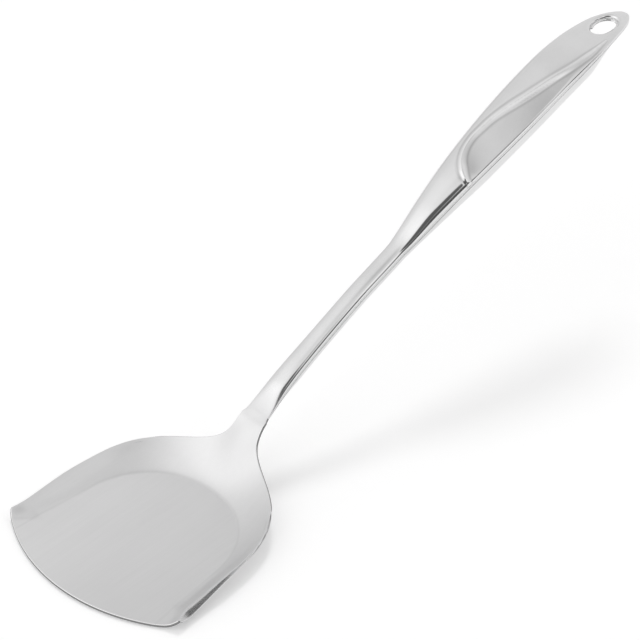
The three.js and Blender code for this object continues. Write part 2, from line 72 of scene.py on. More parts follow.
PAN_LENGTH = 86.3
PAN_FRONT_HALF_WIDTH = 42.8
PAN_REAR_HALF_WIDTH = 37.5
PAN_ROUND_LENGTH = 34.0
PAN_ROUND_POWER = 2.2
FRONT_EDGE_RADIUS = 83.4
CORNER_RADIUS = 2.0
RIM_FRONT_HALF_WIDTH = 51.3
RIM_REAR_HALF_WIDTH = 44.7
RIM_START_SETBACK = 17.5
SHOULDER_START_SETBACK = 6.3
SHOULDER_LENGTH = 98.2
SHOULDER_POWER = 6.7
SHOULDER_FILLET = 9.3
RIM_SLOPE_SHARE = 0.62
RIM_BEND = 2.7
LIP_OFFSET = 5.2
LIP_START_SETBACK = 18.3
LIP_LENGTH = 40.0
NECK_HALF_WIDTH = 6.2
NECK_RIDGE_HALF_WIDTH = 12.1
NECK_RIDGE_POWER = 2.07
NECK_MERGE_POWER = 7.7
FRONT_X = -PAN_LENGTH / 2
PAN_END_X = PAN_LENGTH / 2

# The narrow lip that the front half of the rim turns down, and where its flank is burnished

CURL_HEIGHT = 2.3
CURL_DROP = 1.8
CURL_WIDTH = 1.9
CURL_LEAST_WIDTH = 0.05
CURL_POWER = 1.2
CURL_REACH = 11.0
CURL_LEAST_REACH_SHARE = 0.4
CURL_SWELL_LENGTH = 12.0
CURL_START_SETBACK = 13.0
CURL_END_SETBACK = 90.0
CURL_FADE_POWER = 1.6
FLANK_START_SIZE = 0.3
FLANK_RISE = 0.3
FLANK_EDGE = 0.3
FLANK_EDGE_WIDTH = 0.4

# Grid of the blade and the rings of its edge. The last row is short, so that the smooth shading of
# the neck stays flat up to the joint.

BLADE_ROWS = 230
BLADE_COLUMNS = 161
ROW_BOW_SHARE = 0.6
ROW_BOW_POWER = 1.5
CORNER_FADE_POWER = 3
COLUMN_POWER = 1.6
END_ROW_SHARE = 0.0004
EDGE_STEPS = 11
EDGE_POWER = 0.8
BRIGHT_EDGE_RINGS = 3

# Sizes of the handle: the seam curve seen from the side, and the sections along it

SHANK_START_X = 74.15
SHANK_START_Z = 26.2
SEAM_RUNS = np.array([0, 14, 27, 59, 89, 124, 159, 194, 219, 237.5])
SEAM_RISES = np.array([0, 8.2, 14.6, 28.7, 40.3, 57.8, 71.7, 83.3, 87.8, 87.1])
SHANK_FRONT_HALF_WIDTH = 5.9
SHANK_HALF_WIDTH = 4.4
SHANK_TAPER_RUN = 80.0
SHANK_TAPER_POWER = 4
SWELL_START_RUN = 86.0
SWELL_RUN = 91.4
TAIL_ROUND_RUN = 51.4
CROWN = {"front": 0.85, "shank": 3.0, "grip": 5.0, "tail": 2.2}
BELLY = {"front": 1.0, "shank": 5.5, "grip": 12.2, "tail": 2.1}
CROWN_FRONT_RUN = 13.0
BELLY_FRONT_RUN = 22.0
CROWN_SWELL_RUN = 22.0
BELLY_SWELL_RUN = 49.0
CROWN_FALL_SETBACK = 55.5
CROWN_FALL_RUN = 37.0
BELLY_FALL_SETBACK = 38.0
BELLY_FALL_RUN = 18.5
SIDE_SHARE = 0.8
TOP_SHARE = 0.9
TAIL_EDGE_POWER = 7.5
TAIL_EDGE_ROOT = 0.25
HANDLE_END_X = SHANK_START_X + SEAM_RUNS[-1]
TAIL_START_X = HANDLE_END_X - TAIL_ROUND_RUN
HALF_GAP = 0.55
LEAST_RISE = 0.2
HOLE_SETBACK = 15.5
HOLE_X = HANDLE_END_X - HOLE_SETBACK

# Steps along the handle and round the mouth of its hole, in millimetres or as numbers of places.
# The first step is short for the same reason as the blade's last row. A shell's columns run from
# its middle to one edge, and its coarseness lengthens the steps on the grip.

END_STEP = 0.05
SHANK_STEP = 1.6
LEAF_ROOT_STEP = 0.3
GRIP_STEP = 0.5
LEAF_ROOT_BEFORE = 4
LEAF_ROOT_AFTER = 9
TAIL_STEPS = 110
HOLE_STEPS = 81
HOLE_MARGIN = 0.1
LEAST_STEP = 1e-4
COLLAR_STEPS = 17
TOP_GRID = {"columns": 60, "coarseness": 1.0}
BELLY_GRID = {"columns": 44, "coarseness": 2.0}

# The leaf panel and its ridge, in shares of the leaf's length and of LEAF_HALF_WIDTH. The widths of
# the ridge, its groove and its painted highlight and shade are shares of the ridge's half width.

LEAF_ROOT_RUN = 123.9
LEAF_ROOT_X = SHANK_START_X + LEAF_ROOT_RUN
LEAF_LENGTH = 89.7
LEAF_HALF_WIDTH = 12.2
LEAF_RUN_SHARES = np.array(
    [0, 0.012, 0.035, 0.067, 0.104, 0.147, 0.196, 0.253, 0.322, 0.402, 0.514, 0.636, 0.755, 0.88, 1]
)
LEAF_RIDGE_SHARES = np.array([
    -0.7, -0.508, -0.254, 0.005, 0.19, 0.308, 0.36, 0.328, 0.262, 0.102, -0.172, -0.426, -0.648,
    -0.725, -0.68,
])
CREASE_RUN_SHARES = np.array([0, 0.6, 0.68, 0.82, 0.96])
CREASE_SHARES = np.array([0.955, 0.95, 0.93, 0.82, 0.72])
RIDGE_RUN_SHARES = np.array([0, 0.06, 0.2, 0.36, 0.47, 0.58, 0.72, 0.88, 1])
RIDGE_WIDTH_SHARES = np.array([0.6, 0.85, 0.88, 0.95, 1.1, 1.05, 0.85, 0.75, 0.3])
RIDGE_MARGIN = 0.08
RIDGE_STRIDE = 3
FAR = 99.0
BEAD_POWER = 1.2
PANEL_SOFTNESS = 0.12
PANEL_EDGE_INSIDE = 0.6
PANEL_EDGE_WIDTH = 1.2
PANEL_ROOT_BEFORE = 0.6
PANEL_ROOT_WIDTH = 1.6
PANEL_TIP_SHARE = 0.96
PANEL_TIP_WIDTH = 0.08
PANEL_FADE_SHARE = 0.5
GROOVE_DEPTH = 0.1
GROOVE_PLACE = 1.25
GROOVE_WIDTH = 0.4
# The ridge's painted highlight on its crest and painted shade along its feet
CREST_WIDTH = 0.5
FOOT_PLACE = 1.15
FOOT_WIDTH = 0.3
FOOT_PAINTED_SHADE = 1.4
FULL_PAINT_SIZE = 0.6

# The joints: the neck's weld and the skin over it, the seam's beads and the bead inside the hole

CLEARANCE = 0.3
NECK_WELD_BEFORE = 2.5
NECK_WELD_X = SHANK_START_X - NECK_WELD_BEFORE
NECK_OVERLAP = 0.5
JOINT_BEFORE = 0.9
JOINT_AFTER = 1.6
JOINT_STEP_BEFORE = 1.2
JOINT_RINGS = 61
JOINT_EDGE_RINGS = 40
JOINT_PROUD = 0.01
JOINT_DIP = 0.05
JOINT_DIP_POWER = 3
JOINT_CORNER_POWER = 0.3
JOINT_ROUNDING_POWER = 2.5
JOINT_EDGE_COSINE = 0.957
ROUND_STEPS = 120
BEAD_START = 0.1
BEAD_STEPS = 130
BEAD_TAIL_STEPS = 50
BEAD_SLACK = 0.01
BEAD_ROUND = 0.03
BEAD_DEPTH = 1.1

# Paint: the reach of the painted light that makes the blade lighter on its left and darker on its
# right, and the run from satin to polish, in metres; and the painted shade along the pan's bend in
# millimetres outside the pan

PAINTED_LIGHT_REACH = 0.06
SATIN_END_X = 0.0745
POLISH_START_X = 0.09
BEND_SHADE_PLACE = 0.8
BEND_SHADE_WIDTH = 0.6

# The room: its level of light; its soft fields, each with the turn and height of its middle and its
# size in degrees and how much light it adds or takes; and its dark screens, each with the turn and
# height of its middle, its radius and how dark it is

ROOM_LEVEL = 0.8
ROOM_LEAST = 0.03
ROOM_COLOR = (1, 0.997, 0.998, 1)
ROOM_FIELDS = (
    (149, 41, 30, 0.42),
    (-175, 62, 15, 0.12),
    (50, 69, 15, -0.08),
    (70, 38, 25, -0.06),
    (-40, 64, 22, -0.17),
    (-84, 53, 9, 0.3),
    (71, 2, 14, -0.15),
    (60, 86, 13, -0.22),
)
ROOM_SCREENS = ((-125, 43, 21, 0.86), (-92, 13, 19, 0.88), (-57, 8, 10, 0.92))
SCREEN_EDGE = 6
WHITE = (1, 1, 1, 1)

# The floor, the key light and the camera, in metres and degrees

FLOOR_HALF_SIDE = 4.0
FLOOR_LEVEL = -0.0003
FLOOR_LIFT = 0.3
FLOOR_GLOSS_LIFT = 0.2
KEY_DIRECTION = (0.55, 0.52, 1.0)
KEY_SPREAD = 13
CAMERA_PLACE = (-0.85335, -0.9209, 1.1459)
CAMERA_AZIMUTH = -46.352
CAMERA_ELEVATION = 39.281
CAMERA_ROLL = -0.106
CAMERA_LENS = 225.5
SENSOR_WIDTH = 36.0
CLIP_END = 20.0

# Sockets of a Mix node that mixes colours

MIX_A = 6
MIX_B = 7
MIX_RESULT = 2


# Settings that a user would change


class BladeSettings(PropertyGroup):
    sheet: FloatProperty(
        name="Sheet", description="Thickness of the blade",
        default=0.0014, unit="LENGTH", precision=4,
    )
    nose: FloatProperty(
        name="Edge nose", description="How far the cut edge is rounded in",
        default=0.0005, unit="LENGTH", precision=4,
    )


class HandleSettings(PropertyGroup):
    grip_half_width: FloatProperty(
        name="Grip half width", description="Half the widest part of the handle",
        default=0.0122, unit="LENGTH",
    )
    wall: FloatProperty(
        name="Wall", description="Sheet of the two shells",
        default=0.0008, unit="LENGTH", precision=4,
    )
    ridge_width: FloatProperty(
        name="Ridge width", description="Width of the bead round the leaf panel",
        default=0.0042, unit="LENGTH",
    )
    ridge_height: FloatProperty(
        name="Ridge height", description="Height of that bead over the top face",
        default=0.00045, unit="LENGTH", precision=5,
    )
    panel_depth: FloatProperty(
        name="Panel depth", description="Depth of the leaf panel beside the bead",
        default=0.00025, unit="LENGTH", precision=5,
    )
    hole_length: FloatProperty(
        name="Hole length", description="Hanging hole, lengthwise", default=0.015, unit="LENGTH"
    )
    hole_width: FloatProperty(
        name="Hole width", description="Hanging hole, across", default=0.0103, unit="LENGTH"
    )
    collar_rounding: FloatProperty(
        name="Collar rounding", description="Radius at the mouth of the hole",
        default=0.0015, unit="LENGTH", precision=4,
    )


class FinishSettings(PropertyGroup):
    satin_color: FloatVectorProperty(
        name="Satin steel", description="Colour of the blade",
        subtype="COLOR", size=3, default=(0.8, 0.8, 0.802),
    )
    polished_color: FloatVectorProperty(
        name="Polished steel", description="Colour of the handle",
        subtype="COLOR", size=3, default=(0.83, 0.83, 0.832),
    )
    weld_color: FloatVectorProperty(
        name="Ground weld", description="Colour of the weld beads",
        subtype="COLOR", size=3, default=(0.81, 0.81, 0.812),
    )
    satin_roughness: FloatProperty(
        name="Satin roughness", description="Roughness of the blade",
        default=0.36, min=0, max=1, subtype="FACTOR",
    )
    polished_roughness: FloatProperty(
        name="Polished roughness", description="Roughness of the handle",
        default=0.1, min=0, max=1, subtype="FACTOR",
    )


class StageSettings(PropertyGroup):
    floor_color: FloatVectorProperty(
        name="Floor", description="Colour of the floor",
        subtype="COLOR", size=3, default=(0.78, 0.78, 0.78),
    )
    key_strength: FloatProperty(
        name="Key light", description="Strength of the soft key light", default=0.66, min=0
    )
    room_strength: FloatProperty(
        name="Room light", description="Strength of the white room", default=1.0, min=0
    )


# Shader maths


class Value:
    """A socket on which + - * / and powers add Math nodes."""

    def __init__(self, shader, socket):
        self.shader = shader
        self.socket = socket

    def _math(self, operation, a, b):
        return self.shader.add("ShaderNodeMath", {"operation": operation}, {0: a, 1: b})

    def __add__(self, other):
        return self._math("ADD", self, other)

    def __radd__(self, other):
        return self._math("ADD", other, self)

    def __sub__(self, other):
        return self._math("SUBTRACT", self, other)

    def __rsub__(self, other):
        return self._math("SUBTRACT", other, self)

    def __mul__(self, other):
        return self._math("MULTIPLY", self, other)

    def __rmul__(self, other):
        return self._math("MULTIPLY", other, self)

    def __truediv__(self, other):
        return self._math("DIVIDE", self, other)

    def __rpow__(self, other):
        return self._math("POWER", other, self)

    def at_least(self, other):
        return self._math("MAXIMUM", self, other)

    def rise(self, low, high):
        """0 below low, 1 above high and a smooth step between."""
        sockets = {"Value": self, "From Min": low, "From Max": high}
        settings = {"interpolation_type": "SMOOTHSTEP"}
        return self.shader.add("ShaderNodeMapRange", settings, sockets)


class Shader:
    """A node tree that is filled by one method."""

    def __init__(self, tree):
        self.tree = tree
        tree.nodes.clear()

    def add(self, kind, settings=None, sockets=None, out=0):
        """Adds a node, sets its settings, then gives its sockets values or links, and returns one
        output."""
        node = self.tree.nodes.new(kind)
        for name, value in (settings or {}).items():
            setattr(node, name, value)
        for name, value in (sockets or {}).items():
            if isinstance(value, Value):
                self.tree.links.new(value.socket, node.inputs[name])
            else:
                node.inputs[name].default_value = value
        return Value(self, node.outputs[out]) if node.outputs else node

    def place(self, axis):
        """One of the Object coordinates, in metres."""
        spot = self.add("ShaderNodeTexCoord", out="Object")
        return self.add("ShaderNodeSeparateXYZ", None, {0: spot}, out=axis)

    def field(self, name):
        """A value that the mesh keeps for each point."""
        return self.add("ShaderNodeAttribute", {"attribute_name": name}, out="Fac")

    def noise(self, scale, detail, roughness, turn=(0, 0, 0)):
        """Noise on turned Object coordinates, with a scale along each axis."""
        spot = self.add("ShaderNodeTexCoord", out="Object")
        mapping = {"Vector": spot, "Rotation": turn, "Scale": scale}
        vector = self.add("ShaderNodeMapping", None, mapping)
        sockets = {"Vector": vector, "Scale": 1.0, "Detail": detail, "Roughness": roughness}
        return self.add("ShaderNodeTexNoise", None, sockets, out="Fac")

    def tint(self, amount, low, high):
        """A colour between two, each a value or three numbers, by an amount from 0 to 1."""
        low, high = (end if isinstance(end, Value) else (*end, 1) for end in (low, high))
        sockets = {"Factor": amount, MIX_A: low, MIX_B: high}
        return self.add("ShaderNodeMix", {"data_type": "RGBA"}, sockets, out=MIX_RESULT)

    def metal(self, color, roughness, bumps, strength, distance):
        """A metal with a bump, put on the material's output."""
        height = {"Strength": strength, "Distance": distance, "Height": bumps}
        normal = self.add("ShaderNodeBump", None, height)
        sockets = {"Base Color": color, "Metallic": 1.0, "Roughness": roughness, "Normal": normal}
        surface = self.add("ShaderNodeBsdfPrincipled", None, sockets)
        self.add("ShaderNodeOutputMaterial", None, {"Surface": surface})


def new_material(name):
    """A new material and the Shader that fills it, made anew even where the frame's CAD pieces hold
    one of that name."""
    material = bpy.data.materials.new(name)
    material.use_nodes = True
    return material, Shader(material.node_tree)


def shade(color, share):
    """A colour times a share, with no channel over 1."""
    return tuple(min(c * share, 1.0) for c in color)


def satin_steel(finish):
    """Sheet with fine lengthwise brushing: long noise streaks in colour, roughness and bump.
    Painted light makes its left side lighter and its right side darker, and painted shade darkens
    it along the pan's bend by a bell curve. On the lip's flank it is even and smoother."""
    material, shader = new_material("satin_steel")
    fine = shader.noise((60, 2600, 2600), 3.0, 0.6)
    broad = shader.noise((14, 420, 420), 2.0, 0.5)
    cloud = shader.noise((22, 22, 22), 2.0, 0.5)
    streaks = fine * 0.6 + broad * 0.4
    # Painted light: lighter on the blade's left, darker on its right
    painted_light_slope = shader.place("Y").rise(-PAINTED_LIGHT_REACH, PAINTED_LIGHT_REACH)
    # Painted shade along the pan's bend: a bell curve of the distance outside the pan
    away = (shader.field("bend") - BEND_SHADE_PLACE) * (1 / BEND_SHADE_WIDTH)
    painted_bend_shade = math.e ** (away * away * -1)
    grain = (streaks * 0.6 + cloud * 0.4).rise(0.3, 0.7)
    tone = painted_light_slope * 0.72 + grain * 0.28 - painted_bend_shade * 0.3
    lip = shader.field("lip")
    plain = shader.tint(tone, shade(finish.satin_color, 0.9), shade(finish.satin_color, 1.08))
    color = shader.tint(lip, plain, shade(finish.satin_color, 0.95))
    roughness = finish.satin_roughness - 0.05 + streaks * 0.1 - lip * 0.15
    shader.metal(color, roughness, streaks, 0.12, 0.00006)
    return material


def cut_edge_steel(finish):
    """The upper part of the sheet's edge, rounded over and brighter than the faces, with faint
    marks across."""
    material, shader = new_material("cut_edge_steel")
    marks = shader.noise((900, 900, 300), 2.0, 0.5)
    color = shader.tint(marks, shade(finish.satin_color, 1.02), shade(finish.satin_color, 1.1))
    shader.metal(color, 0.16 + marks * 0.08, marks, 0.05, 0.00004)
    return material


def edge_painted_shade(finish):
    """The lower part of the sheet's edge, painted dark as shade under the edge, with fine grain."""
    material, shader = new_material("edge_painted_shade")
    grain = shader.noise((1800, 1800, 1800), 2.0, 0.6)
    color = shader.tint(grain, shade(finish.satin_color, 0.24), shade(finish.satin_color, 0.44))
    shader.metal(color, 0.3 + grain * 0.1, grain, 0.15, 0.00005)
    return material


def polished_steel(finish):
    """Mirror polish with hairlines and faint cloudy wear, with a painted highlight on the ridge's
    crest and painted shade along its feet. At the front, along x, it runs out of the blade's satin."""
    material, shader = new_material("polished_steel")
    hair = shader.noise((30, 2400, 1800), 3.0, 0.6, (0, 0, 0.1))
    cloud = shader.noise((60, 60, 60), 3.0, 0.5)
    satin = 1 - shader.place("X").rise(SATIN_END_X, POLISH_START_X)
    wear = (cloud * 0.6 + hair * 0.4).rise(0.3, 0.7)
    # Real wear, and the ridge field's painted highlight on the crest and painted shade along its
    # feet
    tone = 0.54 + wear * 0.12 + shader.field("ridge") * 0.3 - satin * 0.1
    color = shader.tint(tone, shade(finish.polished_color, 0.7), shade(finish.polished_color, 1.2))
    polish = finish.polished_roughness - 0.03 + cloud * 0.05 + hair * 0.02
    roughness = polish + satin * (finish.satin_roughness - finish.polished_roughness)
    shader.metal(color, roughness, hair, 0.03, 0.00003)
    return material


def ground_weld(finish):
    """A weld ground flush: short crossing marks and a slightly duller tone."""
    material, shader = new_material("ground_weld")
    marks = shader.noise((1500, 500, 500), 3.0, 0.6)
    color = shader.tint(marks, shade(finish.weld_color, 0.94), shade(finish.weld_color, 1.02))
    shader.metal(color, 0.2 + marks * 0.1, marks, 0.1, 0.00004)
    return material


def white_floor(stage):
    """Plain matt floor. Eyes and mirrors see it a little lighter than it is lit, so that it comes
    out white."""
    material, shader = new_material("white_floor")
    sockets = {"Base Color": (*stage.floor_color, 1), "Roughness": 0.9, "Specular IOR Level": 0.0}
    matt = shader.add("ShaderNodeBsdfPrincipled", None, sockets)
    seen = shader.add("ShaderNodeLightPath", out="Is Camera Ray") * FLOOR_LIFT
    mirrored = shader.add("ShaderNodeLightPath", out="Is Glossy Ray") * FLOOR_GLOSS_LIFT
    light = {"Color": WHITE, "Strength": seen.at_least(mirrored)}
    glow = shader.add("ShaderNodeEmission", None, light)
    both = shader.add("ShaderNodeAddShader", None, {0: matt, 1: glow})
    shader.add("ShaderNodeOutputMaterial", None, {"Surface": both})
    return material


def studio_room(stage):
    """An even pale room with soft fields of more or less light and round dark screens. Towards a
    direction, a field is a power of e of how far that direction lies from its middle, measured by
    cosines, and a screen takes its share inside its radius. The camera sees plain white."""
    world = bpy.data.worlds.new("studio_room")
    world.use_nodes = True
    shader = Shader(world.node_tree)
    way = shader.add("ShaderNodeTexCoord", out="Generated")

    def closeness(turn, height):
        """Cosine of the angle between a ray's direction and a middle."""
        turn, height = math.radians(turn), math.radians(height)
        flat = math.cos(height)
        middle = (flat * math.cos(turn), flat * math.sin(turn), math.sin(height))
        settings = {"operation": "DOT_PRODUCT"}
        return shader.add("ShaderNodeVectorMath", settings, {0: way, 1: middle}, out="Value")

    light = ROOM_LEVEL
    for turn, height, degrees, amount in ROOM_FIELDS:
        reach = math.radians(degrees) ** 2 / 2
        light = light + math.e ** ((closeness(turn, height) - 1) / reach) * amount
    for turn, height, radius, darkness in ROOM_SCREENS:
        outer = math.cos(math.radians(radius + SCREEN_EDGE / 2))
        inner = math.cos(math.radians(radius - SCREEN_EDGE / 2))
        light = light * (1 - closeness(turn, height).rise(outer, inner) * darkness)
    light = (light * stage.room_strength).at_least(ROOM_LEAST)
    white = shader.add("ShaderNodeBackground", None, {"Color": WHITE, "Strength": 1.0})
    lit = shader.add("ShaderNodeBackground", None, {"Color": ROOM_COLOR, "Strength": light})
    camera = shader.add("ShaderNodeLightPath", out="Is Camera Ray")
    mixed = shader.add("ShaderNodeMixShader", None, {0: camera, 1: lit, 2: white})
    shader.add("ShaderNodeOutputWorld", None, {"Surface": mixed})
    return world


# Mesh building


def lattice(rows, columns, start=0, wrap=False):
    """Quads of a grid whose vertices are numbered row by row; wrap joins the last column to the
    first."""
    spans = columns if wrap else columns - 1
    i, j = np.meshgrid(np.arange(rows - 1), np.arange(spans), indexing="ij")
    k = (j + 1) % columns
    here, below = i * columns, (i + 1) * columns
    return np.stack([here + j, below + j, below + k, here + k], -1).reshape(-1, 4) + start


def add_object(name, data):
    """A new object in the scene that holds this mesh, light or camera."""
    thing = bpy.data.objects.new(name, data)
    bpy.context.scene.collection.objects.link(thing)
    return thing


def make_piece(name, points, faces, materials, node, marks=None, join=0.0, fields=None):
    """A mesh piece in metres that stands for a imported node. marks are the material numbers of the
    faces, join is the distance in millimetres under which vertices become one, and fields are named
    values for the shaders, one for each point."""
    mesh = bpy.data.meshes.new(name)
    points = np.asarray(points, float).reshape(-1, 3) * MM
    mesh.from_pydata(points.tolist(), [], faces.tolist())
    for material in materials:
        mesh.materials.append(material)
    if marks is not None:
        mesh.polygons.foreach_set("material_index", np.asarray(marks, np.int32))
    mesh.polygons.foreach_set("use_smooth", np.ones(len(faces), bool))
    for title, values in (fields or {}).items():
        attribute = mesh.attributes.new(title, "FLOAT", "POINT")
        attribute.data.foreach_set("value", np.asarray(values, np.float32).ravel())
    mesh.update()
    piece = add_object(name, mesh)
    if join:
        weld_vertices(mesh, join * MM)
    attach(piece, "root")
    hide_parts(node)
    return piece


def weld_vertices(mesh, distance):
    """Joins vertices closer than a distance, and removes faces that this leaves without area."""
    bm = bmesh.new()
    bm.from_mesh(mesh)
    bmesh.ops.remove_doubles(bm, verts=bm.verts, dist=distance)
    bmesh.ops.dissolve_degenerate(bm, edges=bm.edges, dist=distance)
    bm.to_mesh(mesh)
    bm.free()


def smoothstep(x, start, length):
    """0 up to start, 1 from a length later and between them 3 s squared less 2 s cubed."""
    s = np.clip((x - start) / length, 0, 1)
    return s * s * (3 - 2 * s)


def bell(x):
    """1 at zero, falling to both sides as e to the power of minus x squared."""
    return np.exp(-(x**2))


def lerp(a, b, share):
    """a at share 0, b at share 1 and a straight line between them."""
    return a + (b - a) * share


def unit(vectors):
    """Vectors divided by their own lengths."""
    return vectors / np.maximum(np.linalg.norm(vectors, axis=-1, keepdims=True), NONZERO)


def even_spline(points):
    """Uniform Catmull-Rom spline through points, with the end points doubled: on each span a cubic
    whose end slopes are half the chord between the neighbours."""
    last = len(points) - 1
    t = np.linspace(0, last, CURVE_STEPS + 1)
    i = np.minimum(t.astype(int), last - 1)
    w = (t - i)[:, None]
    before, a = points[np.maximum(i - 1, 0)], points[i]
    b, after = points[i + 1], points[np.minimum(i + 2, last)]
    leave, arrive = (b - before) / 2, (after - a) / 2
    cubic = (2 * a - 2 * b + leave + arrive) * w**3 + (3 * b - 3 * a - 2 * leave - arrive) * w**2
    return cubic + leave * w + a


def ellipse_tail(inset, turn):
    """x of the handle's round tail, made shorter by inset, at an angle from its start."""
    return TAIL_START_X + (TAIL_ROUND_RUN - inset) * np.sin(turn)


def capped(rings):
    """Rings with each end closed by a ring whose points all lie in its middle."""
    caps = np.repeat(rings[[0, -1]].mean(1)[:, None], rings.shape[1], 1)
    return np.concatenate([caps[:1], rings, caps[1:]])


# Shape of the handle

SEAM = even_spline(np.stack([SHANK_START_X + SEAM_RUNS, SHANK_START_Z + SEAM_RISES], 1))
SEAM_ANGLE = np.arctan2(np.gradient(SEAM[:, 1]), np.gradient(SEAM[:, 0]))
RIDGE = even_spline(
    np.stack([LEAF_ROOT_X + LEAF_RUN_SHARES * LEAF_LENGTH, LEAF_RIDGE_SHARES * LEAF_HALF_WIDTH], 1)
)
RIDGE_RUN = np.append(0, np.cumsum(np.linalg.norm(np.diff(RIDGE, axis=0), axis=1)))


def seam_at(x):
    """Height and slope angle of the seam over x, straight on before the handle's front end."""
    angle = np.interp(x, SEAM[:, 0], SEAM_ANGLE)
    before = np.minimum(x - SHANK_START_X, 0) * math.tan(SEAM_ANGLE[0])
    return np.interp(x, SEAM[:, 0], SEAM[:, 1]) + before, angle


def handle_point(x, across, up):
    """A point offset across and upwards, square to the seam at x, and never past the handle's
    end."""
    x, across, up = np.broadcast_arrays(np.asarray(x, float), across, up)
    z, angle = seam_at(x)
    along = np.minimum(x - np.sin(angle) * up, HANDLE_END_X)
    return np.stack([along, across, z + np.cos(angle) * up], -1)


def section(x, handle):
    """Half width, height above and depth below the seam: constants joined by smooth steps, with the
    swell of the grip on a quarter sine, and the tail an ellipse from above that closes late from
    the side."""
    run = x - SHANK_START_X
    grip = handle.grip_half_width / MM
    swell = np.clip((run - SWELL_START_RUN) / SWELL_RUN, 0, 1)
    front = np.clip(1 - run / SHANK_TAPER_RUN, 0, 1)
    tail = np.clip((x - TAIL_START_X) / TAIL_ROUND_RUN, 0, 1)
    edge = (1 - tail**TAIL_EDGE_POWER) ** TAIL_EDGE_ROOT
    taper = (SHANK_FRONT_HALF_WIDTH - SHANK_HALF_WIDTH) * front**SHANK_TAPER_POWER
    width = SHANK_HALF_WIDTH + taper + (grip - SHANK_HALF_WIDTH) * np.sin(swell * math.pi / 2)

    def height(sizes, front_run, swell_run, fall_setback, fall_run):
        """From front to shank, shank to grip and grip to tail, each by a smooth step."""
        front, shank, grip, tail = sizes.values()
        early = front + (shank - front) * smoothstep(run, 0, front_run)
        full = early + (grip - shank) * smoothstep(run, SWELL_START_RUN, swell_run)
        return full + (tail - grip) * smoothstep(run, SEAM_RUNS[-1] - fall_setback, fall_run)

    crown = height(CROWN, CROWN_FRONT_RUN, CROWN_SWELL_RUN, CROWN_FALL_SETBACK, CROWN_FALL_RUN)
    belly = height(BELLY, BELLY_FRONT_RUN, BELLY_SWELL_RUN, BELLY_FALL_SETBACK, BELLY_FALL_RUN)
    return width * np.sqrt(1 - tail**2), crown * edge, belly * edge


def arch(height, share):
    """Height of a superellipse over the seam's edge at a share of the half width."""
    rise = (1 - np.clip(np.abs(share), 0, 1) ** (2 / SIDE_SHARE)) ** (TOP_SHARE / 2)
    return HALF_GAP + (np.maximum(height, HALF_GAP + LEAST_RISE) - HALF_GAP) * rise


def from_ridge(x, y, handle):
    """Distance from the ridge's middle line, measured to the nearest of its points and below zero
    on the leaf's side, and the ridge's half width and size there."""
    share = (x - LEAF_ROOT_X) / LEAF_LENGTH
    near = np.full(x.shape, FAR)
    along = np.zeros(x.shape)
    picked = (share > -RIDGE_MARGIN) & (share < 1 + RIDGE_MARGIN)
    spots = np.stack([x[picked], y[picked]], -1)
    gaps = np.linalg.norm(spots[:, None] - RIDGE[None, ::RIDGE_STRIDE], axis=-1)
    near[picked] = gaps.min(1)
    along[picked] = RIDGE_RUN[::RIDGE_STRIDE][gaps.argmin(1)]
    size = np.interp(along / RIDGE_RUN[-1], RIDGE_RUN_SHARES, RIDGE_WIDTH_SHARES)
    offset = near * np.sign(y - np.interp(x, RIDGE[:, 0], RIDGE[:, 1]))
    return offset, handle.ridge_width / MM / 2 * size, size


def top_height(x, y, handle):
    """Height of the upper face over the seam: the arch, then the leaf panel as a plane from the
    crease to the ridge, joined by a smooth minimum, then the ridge as an oval bead on its middle
    line with a shallow groove above it."""
    width, crown, _ = section(x, handle)
    width = np.maximum(width, TINY)
    plain = arch(crown, y / width)
    share = (x - LEAF_ROOT_X) / LEAF_LENGTH
    crease = -width * np.interp(share, CREASE_RUN_SHARES, CREASE_SHARES)
    ridge = np.interp(x, RIDGE[:, 0], RIDGE[:, 1])
    fade = smoothstep(share, PANEL_TIP_SHARE - PANEL_FADE_SHARE, PANEL_FADE_SHARE)
    low = arch(crown, crease / width)
    high = arch(crown, ridge / width) - handle.panel_depth / MM * (1 - fade)
    plane = low + (high - low) * (y - crease) / np.maximum(ridge - crease, 1.0)
    pressed = (plain + plane - np.hypot(plain - plane, PANEL_SOFTNESS)) / 2
    offset, half, size = from_ridge(x, y, handle)
    bead = np.maximum(1 - (offset / half) ** 2, 0) ** BEAD_POWER
    groove = GROOVE_DEPTH * bell((offset - GROOVE_PLACE * half) / (GROOVE_WIDTH * half))
    inside = 1 - smoothstep(offset, -PANEL_EDGE_INSIDE * half, PANEL_EDGE_WIDTH * half)
    inside = inside * smoothstep(x, LEAF_ROOT_X - PANEL_ROOT_BEFORE, PANEL_ROOT_WIDTH)
    inside = inside * (1 - smoothstep(share, PANEL_TIP_SHARE - PANEL_TIP_WIDTH, PANEL_TIP_WIDTH))
    return lerp(plain, pressed, inside) + (handle.ridge_height / MM * bead - groove) * size


def belly_height(x, y, handle):
    """Depth of the lower face under the seam."""
    width, _, belly = section(x, handle)
    return arch(belly, y / np.maximum(width, TINY))


def mouth_size(handle):
    """Half length and half width of the hanging hole where its rounded collar starts."""
    rounding = handle.collar_rounding / MM
    return handle.hole_length / MM / 2 + rounding, handle.hole_width / MM / 2 + rounding


